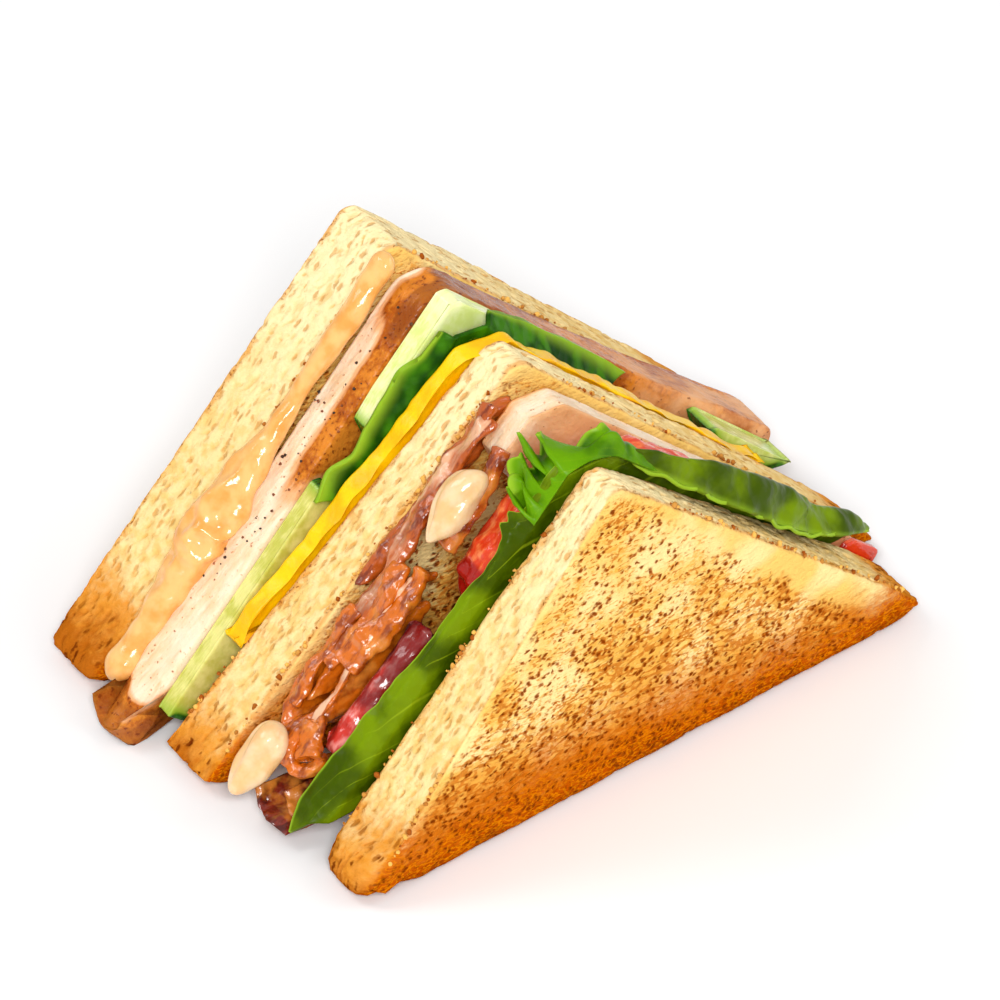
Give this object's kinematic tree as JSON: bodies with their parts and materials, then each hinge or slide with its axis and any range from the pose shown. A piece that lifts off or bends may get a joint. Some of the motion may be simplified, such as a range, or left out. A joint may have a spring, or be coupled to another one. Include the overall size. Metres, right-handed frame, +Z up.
{
  "type": "club sandwich quarter",
  "caption": "Toasted club sandwich quarter standing on its crust, with turkey, cucumber, cheddar, bacon, tomato, lettuce and sauce shown at its two knife cuts.",
  "frame": {"origin": "on the table, under the middle of the sandwich's box", "axes": "+X along the crust towards the right-hand tip, +Y from the front toast to the back toast, +Z up"},
  "size_m": [0.1135, 0.0714, 0.0566],
  "materials": {
    "toasted_bread": "dry toasted white bread with an open crumb at the cuts, golden speckles on the face and a brown crust",
    "roast_turkey": "moist pale pink meat with a browned rind",
    "melted_cheddar": "soft deep yellow cheese",
    "cucumber": "wet pale green flesh with a dark green skin",
    "lettuce": "fresh waxy leaf with lighter veins and rim",
    "crisp_bacon": "fried, red-brown and greasy with pale fat streaks",
    "tomato": "wet red flesh",
    "cocktail_sauce": "glossy peach-coloured sauce"
  },
  "bodies": {
    "root": {"toast_front": "toasted_bread", "toast_middle": "toasted_bread", "toast_back": "toasted_bread", "turkey_back": "roast_turkey", "turkey_front": "roast_turkey", "cheese": "melted_cheddar", "cucumber_top": "cucumber", "cucumber_left": "cucumber", "cucumber_right": "cucumber", "lettuce_back": "lettuce", "lettuce_front": "lettuce", "lettuce_ruffle": "lettuce", "bacon_upper": "crisp_bacon", "bacon_lower": "crisp_bacon", "bacon_end": "crisp_bacon", "tomato_upper": "tomato", "tomato_lower": "tomato", "tomato_right": "tomato", "sauce_back": "cocktail_sauce", "sauce_drop_upper": "cocktail_sauce", "sauce_drop_lower": "cocktail_sauce"}
  },
  "joints": []
}
